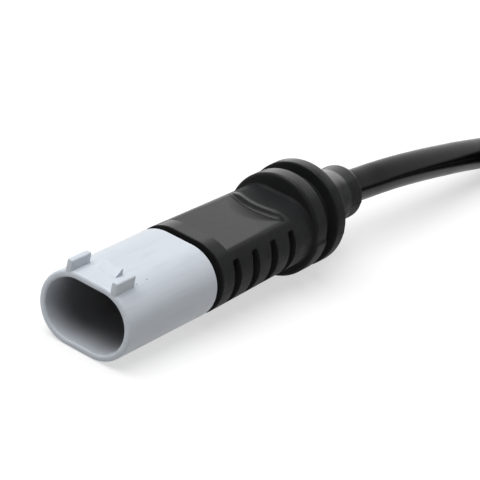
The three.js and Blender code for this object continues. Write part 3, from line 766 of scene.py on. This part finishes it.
def lead_route():
    """Every point of the lead, from inside the neck to inside the head."""
    held = [
        tuple(LIE @ (Vector((0, y, 0)) * MM) / MM)
        for y in (NECK_END - LEAD_GRIP, NECK_END - LEAD_GRIP / 2, NECK_END)]
    held_tail = [(TAIL_X, y, TAIL_HEIGHT) for y in (
        GROMMET_BACK, GROMMET_BACK - GROMMET_LENGTH, BOOT_BACK, BOOT_BACK - BOOT_LENGTH / 2,
        HEAD_BACK - HEAD_POCKET_DEPTH / 2)]
    return [*held, *LEAD_RUN, *coil_points(), *TAIL_RUN, *held_tail]


def make_lead():
    """The whole lead as one smooth cord, from the neck to the head."""
    curve = bpy.data.curves.new("lead", "CURVE")
    curve.dimensions = "3D"
    curve.bevel_depth = LEAD_RADIUS * MM
    curve.bevel_resolution = 10
    curve.resolution_u = 8
    curve.use_fill_caps = True
    spline = curve.splines.new("BEZIER")
    route = lead_route()
    spline.bezier_points.add(len(route) - 1)
    for point, place in zip(spline.bezier_points, route):
        point.co = Vector(place) * MM
        point.handle_left_type = point.handle_right_type = "AUTO"
    lead = bpy.data.objects.new("lead", curve)
    bpy.context.scene.collection.objects.link(lead)
    return finish(lead, SHEATH, "lead_run", "lead_coil", "lead_tail")


# Shroud

def shroud_shell():
    """The oblong shell: skirt, outside, rim, cavity and floor in one skin."""
    half_wall = SHROUD_WALL / 2
    floor_back = CAVITY_DEPTH + FLOOR_THICKNESS
    outside = round_corners([
        (SHROUD_WALL, floor_back), (SHROUD_WALL, SHROUD_LENGTH), (0, SHROUD_LENGTH),
        (0, SHROUD_LENGTH / 2),
    ], SKIRT_ROUNDING, steps=4)
    rim = arc((RIM_ROUNDING, RIM_ROUNDING), RIM_ROUNDING, 180, 270, 8)
    inner_edge = (SHROUD_WALL - RIM_INSIDE_ROUNDING, RIM_INSIDE_ROUNDING)
    inside = arc(inner_edge, RIM_INSIDE_ROUNDING, 270, 360, 8)
    floor_inset = SHROUD_HEIGHT / 2 - half_wall
    profile = [
        (floor_inset, floor_back), *outside, *rim, *inside, (SHROUD_WALL, CAVITY_DEPTH),
        (floor_inset, CAVITY_DEPTH)]
    rings = []
    for inset, y in profile:
        if inset < half_wall:
            inset += SHROUD_DRAFT * (1 - y / SHROUD_LENGTH)
        ring = ring_at(stadium(SHROUD_WIDTH - 2 * inset, SHROUD_HEIGHT - 2 * inset), y)
        if inset < half_wall:
            mark_seam(ring, *SHROUD_SEAM)
        rings.append(ring)
    return skin("shroud", rings, LIE)


def make_shroud():
    """The shell with its ribs, latch nib and pin holes. Its inside has a material with painted
    shade.
    """
    shroud = shroud_shell()
    top = SHROUD_HEIGHT / 2
    for side in (-1, 1):
        middle = side * RIB_SPACING / 2
        rib = block(
            "rib", (middle - RIB_THICKNESS / 2, RIB_START, top - SHROUD_WALL * RIB_ROOT),
            (middle + RIB_THICKNESS / 2, RIB_LENGTH, top + RIB_RISE), RIB_ROUNDING, LIE)
        boolean(shroud, rib, "UNION")
    crest = LATCH_START + LATCH_LENGTH
    outline = round_corners([
        (LATCH_START - LATCH_TOE, top - LATCH_ROOT), (crest, top - LATCH_ROOT),
        (crest, top + LATCH_RISE), (crest - LATCH_CREST, top + LATCH_RISE), (LATCH_START, top),
    ], LATCH_ROUNDING, closed=True, steps=3)
    rings = [[(x, y, z) for y, z in outline] for x in (-LATCH_WIDTH / 2, LATCH_WIDTH / 2)]
    boolean(shroud, skin("latch", rings, LIE), "UNION")
    for side in (-1, 1):
        hole = lathe("hole", [
            (PIN_RADIUS + CLEARANCE, CAVITY_DEPTH - OVERRUN),
            (PIN_RADIUS + CLEARANCE, CAVITY_DEPTH + FLOOR_THICKNESS + OVERRUN),
        ], LIE @ Matrix.Translation((side * PIN_SPACING / 2 * MM, 0, 0)), sides=32)
        boolean(shroud, hole, "DIFFERENCE")
    finish(shroud, GREY, "connector_shroud")
    # Faces inside the mouth take the material with the painted shade.
    shroud.data.materials.append(GREY_SHADED_INSIDE)
    to_mouth = LIE.inverted()
    reach = SHROUD_HEIGHT / 2 - SHROUD_WALL + INSIDE_SHADE_REACH
    straight = (SHROUD_WIDTH - SHROUD_HEIGHT) / 2
    for face in shroud.data.polygons:
        x, y, z = (to_mouth @ face.center) / MM
        from_middle = math.hypot(max(0, abs(x) - straight), z)
        if y < CAVITY_DEPTH + INSIDE_SHADE_REACH and from_middle < reach:
            face.material_index = 1


def make_pin(name, side):
    """A turned pin: its tip, its collar behind the shroud's floor, and its barrel."""
    collar_front = CAVITY_DEPTH + FLOOR_THICKNESS + CLEARANCE
    barrel_front = collar_front + PIN_COLLAR_LENGTH
    barrel_end = barrel_front + BARREL_LENGTH
    tip = CAVITY_DEPTH - PIN_LENGTH
    bore_start = barrel_end - BARREL_BORE_DEPTH
    nose = [(0.0, tip), (PIN_RADIUS * 0.5, tip), (PIN_RADIUS, tip + PIN_TIP_LENGTH)]
    profile = round_corners([
        *nose, (PIN_RADIUS, collar_front), (PIN_COLLAR_RADIUS, collar_front),
        (PIN_COLLAR_RADIUS, barrel_front), (BARREL_RADIUS, barrel_front),
        (BARREL_RADIUS, barrel_end), (BARREL_BORE_RADIUS, barrel_end),
        (BARREL_BORE_RADIUS, bore_start), (0.0, bore_start),
    ], PIN_ROUNDING, steps=3)
    place = LIE @ Matrix.Translation((side * PIN_SPACING / 2 * MM, 0, 0))
    return finish(lathe(name, profile, place, sides=40), PIN_METAL, name)


# Grip moulding

def grip_size(y):
    """Width and height of the grip, which tapers from the collar to the flange."""
    share = (y - COLLAR_FRONT) / GRIP_LENGTH
    return (
        GRIP_FRONT_WIDTH + (GRIP_REAR_WIDTH - GRIP_FRONT_WIDTH) * share,
        GRIP_FRONT_HEIGHT + (GRIP_REAR_HEIGHT - GRIP_FRONT_HEIGHT) * share)


def carve_panel(ring):
    """Presses the thumb panels into the top and the underside of a ring.

    A panel is flat. It sweeps up in a crescent before the arc that ends it behind, and a low
    lip runs along the arc's foot. The deck behind the arc falls a little to the flange.
    """
    x, y, z = ring.T
    before_arc = np.where(
        y > ARC_MIDDLE, -PANEL_ARC_RADIUS, np.hypot(x, y - ARC_MIDDLE) - PANEL_ARC_RADIUS)
    from_front = y - (COLLAR_FRONT + PANEL_START)
    crescent = np.clip(1 - (x / PANEL_HALF_WIDTH) ** 2, CRESCENT_LEAST, 1)
    sweep = np.clip(1 - before_arc / (SCOOP_LENGTH * crescent), 0, 1) ** SCOOP_POWER
    foot = np.exp(-(((before_arc - FOOT_BEFORE) / FOOT_WIDTH) ** 2))
    limit = (
        GRIP_FRONT_HEIGHT / 2 - PANEL_DEPTH
        + SCOOP_RISE * np.sqrt(crescent) * sweep
        + FOOT_RISE * foot
        + WALL_SLOPE * np.maximum(0, -from_front)
        + ARC_SLOPE * np.maximum(0, -before_arc))
    blend = EDGE_BLEND + (ARC_BLEND - EDGE_BLEND) * smooth_step(
        (from_front - PANEL_LENGTH / 2) / (PANEL_LENGTH / 4))
    deck = GRIP_FRONT_HEIGHT / 2 - DECK_TOP - DECK_FALL * (from_front - PANEL_LENGTH)
    limit = np.where(from_front > PANEL_LENGTH - DECK_LEAD, np.minimum(limit, deck), limit)
    ring[:, 2] = np.sign(z) * smooth_min(np.abs(z), limit, blend)


def carve_slots(ring):
    """Cuts the slots into both sides of a ring."""
    x, y = ring[:, 0], ring[0, 1]
    middles = COLLAR_FRONT + SLOT_FIRST + SLOT_PITCH * np.arange(SLOT_COUNT)
    away = np.abs(y - middles).min() - SLOT_WIDTH / 2
    beyond_end = np.maximum(0, np.abs(ring[:, 2]) - SLOT_HALF_HEIGHT)
    limit = SLOT_FLOOR_HALF_WIDTH + WALL_SLOPE * max(0.0, away) + SLOT_END_SLOPE * beyond_end
    ring[:, 0] = np.sign(x) * smooth_min(np.abs(x), limit, EDGE_BLEND)


def grip_rows(start, end):
    """Places along the grip for its rings: closer together where an edge crosses it."""
    edges = [COLLAR_FRONT + PANEL_START]
    for k in range(SLOT_COUNT):
        middle = COLLAR_FRONT + SLOT_FIRST + k * SLOT_PITCH
        edges += [middle - SLOT_WIDTH / 2, middle + SLOT_WIDTH / 2]
    arc_depth = PANEL_ARC_RADIUS - math.sqrt(PANEL_ARC_RADIUS ** 2 - PANEL_HALF_WIDTH ** 2)
    rows = [start]
    while rows[-1] < end:
        step = GRIP_STEP
        if ARC_FRONT - EDGE_REACH < rows[-1] < ARC_FRONT + arc_depth + 2 * EDGE_REACH:
            step = ARC_STEP
        if min(abs(rows[-1] - edge) for edge in edges) < EDGE_REACH:
            step = GRIP_FINE_STEP
        rows.append(rows[-1] + step)
    return [row for row in rows if row < end - ROW_GAP]


def grip_rings():
    """The front plug, the collar and the grip, up to the face of the first flange."""
    plug_front = CAVITY_DEPTH + FLOOR_THICKNESS + CLEARANCE
    plug = stadium(SHROUD_WIDTH - 2 * PLUG_INSET, SHROUD_HEIGHT - 2 * PLUG_INSET)
    inset = PLUG_INSET + PLUG_CHAMFER
    shrunk = stadium(SHROUD_WIDTH - 2 * inset, SHROUD_HEIGHT - 2 * inset)
    rings = [
        ring_at(shrunk, plug_front), ring_at(plug, plug_front + PLUG_CHAMFER),
        ring_at(plug, COLLAR_FRONT)]
    width, height = grip_size(COLLAR_FRONT)
    for inset, along in arc((COLLAR_ROUNDING, COLLAR_ROUNDING), COLLAR_ROUNDING, 270, 180, 4):
        rings.append(ring_at(stadium(width - 2 * inset, height - 2 * inset), COLLAR_FRONT + along))
    for y in grip_rows(COLLAR_FRONT + CARVING_START, FLANGE_1_FRONT - GRIP_FILLET):
        ring = ring_at(stadium(*grip_size(y)), y)
        carve_panel(ring)
        carve_slots(ring)
        mark_seam(ring, *GRIP_SEAM)
        rings.append(ring)
    width, height = grip_size(FLANGE_1_FRONT)
    for angle in np.radians([0, 22, 45, 68, 90]):
        grow = GRIP_FILLET * (1 - math.cos(angle))
        section = stadium(width + 2 * grow, height + 2 * grow)
        rings.append(ring_at(section, FLANGE_1_FRONT - GRIP_FILLET * (1 - math.sin(angle))))
    return rings


def flange_rings():
    """Both flanges, the neck and the bore that the lead comes out of."""
    bore = LEAD_RADIUS + CLEARANCE
    flange_1_back = FLANGE_1_FRONT + FLANGE_1_THICKNESS
    front_edge = arc(
        (FLANGE_1_RADIUS - FLANGE_FRONT_ROUNDING, FLANGE_1_FRONT + FLANGE_FRONT_ROUNDING),
        FLANGE_FRONT_ROUNDING, 270, 360, 8)
    rims = front_edge + round_corners([
        (FLANGE_1_RADIUS, FLANGE_1_FRONT + FLANGE_FRONT_ROUNDING + 0.1),
        (FLANGE_1_RADIUS, flange_1_back), (FLANGE_CORE_RADIUS, flange_1_back),
        (FLANGE_CORE_RADIUS, FLANGE_2_FRONT), (FLANGE_2_RADIUS, FLANGE_2_FRONT),
        (FLANGE_2_RADIUS, NECK_START), (NECK_BASE_RADIUS + NECK_FOOT, NECK_START),
    ], FLANGE_ROUNDING, steps=5)
    cone_end = NECK_START + NECK_CONE_LENGTH
    cone = round_corners([
        (NECK_BASE_RADIUS + NECK_FOOT, NECK_START), (NECK_BASE_RADIUS, NECK_START),
        (NECK_RADIUS, cone_end), (NECK_RADIUS, NECK_END - NECK_END_ROUNDING - 0.1),
    ], NECK_BLEND, steps=8)
    end = arc(
        (NECK_RADIUS - NECK_END_ROUNDING, NECK_END - NECK_END_ROUNDING), NECK_END_ROUNDING,
        0, 90, 6)
    inside = [(bore + 0.05, NECK_END - 0.02), (bore, NECK_END - 0.4), (bore, NECK_END - LEAD_GRIP)]
    rings = []
    for radius, y in [*rims, *cone[1:], *end, *inside]:
        ring = ring_at(stadium(2 * radius, 2 * radius), y)
        if y < flange_1_back + 0.01 and radius > FLANGE_CORE_RADIUS + 0.2:
            lower = smooth_step(0.5 - ring[:, 2] / FLANGE_STEP_WIDTH)
            share = (radius - FLANGE_CORE_RADIUS) / (FLANGE_1_RADIUS - FLANGE_CORE_RADIUS)
            scale = 1 + FLANGE_1_LOWER_PROUD * lower * share / radius
            ring[:, 0] *= scale
            ring[:, 2] *= scale
        if radius > NECK_RADIUS - NECK_END_ROUNDING:
            mark_seam(ring, *FLANGE_SEAM)
        rings.append(ring)
    return rings


def make_grip():
    """The plug, collar, grip, flanges and neck as one skin."""
    grip = skin("grip", [*grip_rings(), *flange_rings()], LIE, sharp_degrees=50)
    return finish(grip, BLACK, "grip_moulding")


# Pieces on the tail

def make_grommet():
    """The grommet, with the waist that a bracket holds."""
    back = GROMMET_BACK
    front = back - GROMMET_LENGTH
    middle = (front + back) / 2
    waist = GROMMET_WAIST_LENGTH / 2
    bore = LEAD_RADIUS + RUBBER_FIT
    profile = round_corners([
        (bore, front), (GROMMET_RADIUS, front), (GROMMET_RADIUS, middle - waist),
        (GROMMET_WAIST_RADIUS, middle - waist), (GROMMET_WAIST_RADIUS, middle + waist),
        (GROMMET_RADIUS, middle + waist), (GROMMET_RADIUS, back), (bore, back),
    ], GROMMET_ROUNDING, closed=True, steps=4)
    return finish(
        lathe("bracket_grommet_rubber", profile, ON_TAIL, closed=True), RUBBER, "bracket_grommet")


def make_boot():
    """The tapered boot, with its grooves."""
    front = BOOT_BACK - BOOT_LENGTH
    bore = LEAD_RADIUS + RUBBER_FIT
    taper_front = front + BOOT_STRAIGHT * BOOT_LENGTH
    outline = [(bore, front), (BOOT_RADIUS, front), (BOOT_RADIUS, taper_front)]
    for k in range(BOOT_GROOVES):
        along = BOOT_GROOVE_FIRST + BOOT_GROOVE_PITCH * k
        tapered = (along - BOOT_STRAIGHT) / (1 - BOOT_STRAIGHT)
        radius = BOOT_RADIUS + (BOOT_TIP_RADIUS - BOOT_RADIUS) * tapered
        bottom = radius - BOOT_GROOVE_DEPTH
        y = front + along * BOOT_LENGTH
        end = y + BOOT_GROOVE_WIDTH
        outline += [
            (radius, y), (bottom, y + BOOT_GROOVE_WALL),
            (bottom, end - BOOT_GROOVE_WALL), (radius, end)]
    outline += [(BOOT_TIP_RADIUS, BOOT_BACK), (bore, BOOT_BACK)]
    profile = round_corners(outline, BOOT_ROUNDING, closed=True, steps=3)
    return finish(lathe("head_boot_rubber", profile, ON_TAIL, closed=True), RUBBER, "head_boot")


def make_head():
    """The head's block with its clip seat, and the round nose in front of it."""
    height = 2 * TAIL_HEIGHT
    seat = CLIP_THICKNESS + CLEARANCE
    clip_front = HEAD_FRONT + CLIP_START - CLEARANCE
    clip_back = HEAD_FRONT + CLIP_START + CLIP_WIDTH + CLEARANCE
    nose_tip = HEAD_FRONT - NOSE_LENGTH
    rings = []
    for radius, y in round_corners([
        (NOSE_ROUNDING, nose_tip), (NOSE_RADIUS, nose_tip), (NOSE_RADIUS, HEAD_FRONT),
        (NOSE_FOOT_RADIUS, HEAD_FRONT),
    ], NOSE_ROUNDING, steps=6):
        rings.append(ring_at(stadium(2 * radius, 2 * radius, HEAD_POINTS), y))
    eased = [
        (HEAD_ROUNDING * (1 - math.sin(a)), HEAD_ROUNDING * (1 - math.cos(a)))
        for a in np.linspace(0, math.pi / 2, 5)]
    stations = [(inset, HEAD_FRONT + along, 0) for inset, along in eased]
    stations += [(0, y, 0) for y in (HEAD_FRONT + 2, clip_front - CLIP_SEAT_SLANT)]
    stations += [(0, y, seat) for y in (clip_front, clip_back)]
    stations += [(0, y, 0) for y in (clip_back + CLIP_SEAT_SLANT, HEAD_BACK - 2)]
    stations += [(inset, HEAD_BACK - along, 0) for inset, along in reversed(eased)]
    for inset, y, sunk in stations:
        section = rounded_box(
            HEAD_WIDTH - 2 * inset, height - 2 * inset, HEAD_CORNER - 0.5 * inset, HEAD_POINTS)
        ring = ring_at(section, y)
        reach = HEAD_WIDTH / 2 - inset - sunk
        ring[:, 0] = np.clip(ring[:, 0], -reach, reach)
        ring[:, 2] = np.minimum(ring[:, 2], height / 2 - inset - sunk)
        rings.append(ring)
    head = skin("sensor_head_block", rings, ON_TAIL)
    pocket = lathe("pocket", [
        (LEAD_RADIUS + CLEARANCE, HEAD_BACK - HEAD_POCKET_DEPTH),
        (LEAD_RADIUS + CLEARANCE, HEAD_BACK + OVERRUN),
    ], ON_TAIL, sides=64)
    boolean(head, pocket, "DIFFERENCE")
    bore = LOOP_WIRE_RADIUS + CLEARANCE
    slot_end = nose_tip + 2 * bore + 2 * NOSE_SLOT_ROUNDING
    slot = block(
        "slot", (-LOOP_SPACING / 2 - bore, nose_tip - OVERRUN, -bore),
        (LOOP_SPACING / 2 + bore, slot_end, bore), NOSE_SLOT_ROUNDING, ON_TAIL)
    boolean(head, slot, "DIFFERENCE")
    return finish(head, HEAD_BLACK, "sensor_head")


def make_clip():
    """The spring strip over the head, with its legs flared at their ends."""
    outer = HEAD_WIDTH / 2
    inner = outer - CLIP_THICKNESS
    end = CLIP_LEG_END - TAIL_HEIGHT
    flare = end + 2 * CLIP_FLARE
    outline = round_corners([
        (-outer - CLIP_FLARE, end), (-inner - CLIP_FLARE, end), (-inner, flare),
        (-inner, TAIL_HEIGHT - CLIP_THICKNESS), (inner, TAIL_HEIGHT - CLIP_THICKNESS),
        (inner, flare), (inner + CLIP_FLARE, end), (outer + CLIP_FLARE, end), (outer, flare),
        (outer, TAIL_HEIGHT), (-outer, TAIL_HEIGHT), (-outer, flare),
    ], CLIP_ROUNDING, closed=True, steps=5)
    start = HEAD_FRONT + CLIP_START
    rings = [[(x, y, z) for x, z in outline] for y in (start, start + CLIP_WIDTH)]
    return finish(skin("clip_strip", rings, ON_TAIL), STEEL, "retaining_clip")


def tube(name, points, radius, matrix, sides=20):
    """A round wire through points in millimetres, with flat ends."""
    points = [Vector(p) for p in points]
    rings = []
    across = Vector((0, 0, 1))
    for i, point in enumerate(points):
        ahead = (points[min(i + 1, len(points) - 1)] - points[max(i - 1, 0)]).normalized()
        beside = ahead.cross(across).normalized()
        rings.append([
            tuple(point + beside * radius * math.cos(a) + across * radius * math.sin(a))
            for a in np.linspace(0, 2 * math.pi, sides, endpoint=False)])
    return skin(name, rings, matrix)


def make_loop():
    """The bare wire in the nose: two legs and a bend at the tip."""
    half = LOOP_SPACING / 2
    tip = HEAD_FRONT - NOSE_LENGTH + LOOP_WIRE_RADIUS + CLEARANCE
    back = HEAD_BACK - HEAD_POCKET_DEPTH - LOOP_TO_POCKET
    bend = half * LOOP_BEND
    left = arc((-half + bend, tip + bend), bend, 180, 270, 8)
    right = arc((half - bend, tip + bend), bend, 270, 360, 8)
    points = [(-half, back), *left, *right, (half, back)]
    wire = tube("wear_loop_wire", [(x, y, 0) for x, y in points], LOOP_WIRE_RADIUS, ON_TAIL)
    return finish(wire, COPPER, "wear_loop")


# Surroundings

def seen_directly(tree, path):
    """Whether a ray comes from the camera, a gloss or a clear surface."""
    total = path.outputs["Is Camera Ray"]
    for ray in ("Is Glossy Ray", "Is Transmission Ray"):
        total = computed(tree, "MAXIMUM", total, path.outputs[ray])
    return total


def light_world():
    """White for the camera, a weak even light, and for gloss a room with a white backdrop."""
    world = bpy.data.worlds.new("studio")
    bpy.context.scene.world = world
    world.use_nodes = True
    tree = world.node_tree
    background = tree.nodes["Background"]
    background.inputs["Color"].default_value = (1, 1, 1, 1)
    height = measured(tree, "DOT_PRODUCT", (0, 0, 1), "Generated")
    overhead = ranged(tree, height, BACKDROP_TOP, CEILING, 1.0, CEILING_GLOSS)
    azimuth = math.radians(VIEW_AZIMUTH)
    backwards = (-math.sin(azimuth), math.cos(azimuth), 0)
    behind = measured(tree, "DOT_PRODUCT", backwards, "Generated")
    room = ranged(tree, behind, ROOM_END, BACKDROP_START, ROOM_GLOSS, 1.0)
    gloss = computed(tree, "MULTIPLY", overhead, room)
    path = tree.nodes.new("ShaderNodeLightPath")
    backdrop = mixed(tree, path.outputs["Is Camera Ray"], gloss, 1.0)
    strength = mixed(tree, seen_directly(tree, path), WORLD_LIGHT, backdrop)
    tree.links.new(strength, background.inputs["Strength"])


def area_light(name, place, target, size, watts):
    data = bpy.data.lights.new(name, "AREA")
    data.shape = "DISK"
    data.size = size
    data.energy = watts
    lamp = bpy.data.objects.new(name, data)
    direction = Vector(target) - Vector(place)
    lamp.location = place
    lamp.rotation_euler = direction.to_track_quat("-Z", "Y").to_euler()
    bpy.context.scene.collection.objects.link(lamp)


def lay_floor():
    """A white floor that keeps its shadows, and stays white where the lamp falls off."""
    mesh = bpy.data.meshes.new("floor")
    mesh.from_pydata(
        [(x * FLOOR_HALF, y * FLOOR_HALF, 0) for x, y in ((-1, -1), (1, -1), (1, 1), (-1, 1))],
        [], [(0, 1, 2, 3)])
    floor = bpy.data.objects.new("floor", mesh)
    bpy.context.scene.collection.objects.link(floor)
    material, tree, main = shader("floor", (FLOOR_COLOUR,) * 3, 0.9)
    main.inputs["Specular IOR Level"].default_value = 0.0
    main.inputs["Emission Color"].default_value = (1, 1, 1, 1)
    path = tree.nodes.new("ShaderNodeLightPath")
    away = measured(tree, "DISTANCE", (0, 0, 0))
    glow = ranged(tree, away, GLOW_NEAR, GLOW_FAR, FLOOR_GLOW, 1.0, smooth=False)
    strength = mixed(tree, seen_directly(tree, path), 0.0, glow)
    tree.links.new(strength, main.inputs["Emission Strength"])
    mesh.materials.append(material)


aim_camera()
lead = make_lead()
make_shroud()
make_grip()
make_pin("contact_pin_left", -1)
make_pin("contact_pin_right", 1)
on_tail = [make_grommet(), make_boot(), make_head(), make_clip(), make_loop()]
for side, core in (("left", CORE_WHITE), ("right", CORE_BROWN)):
    repaint(f"wire_core_{side}", core)
    repaint(f"conductor_{side}", COPPER)
    repaint(f"head_core_{side}", core)
    repaint(f"head_splice_{side}", PIN_METAL)
    on_tail += [frame["nodes"][f"head_core_{side}"], frame["nodes"][f"head_splice_{side}"]]

light_world()
area_light("top_light", TOP_LAMP_PLACE, TOP_LAMP_TARGET, TOP_LAMP_SIZE, TOP_LAMP)
lay_floor()

bpy.context.scene.view_settings.view_transform = "Standard"
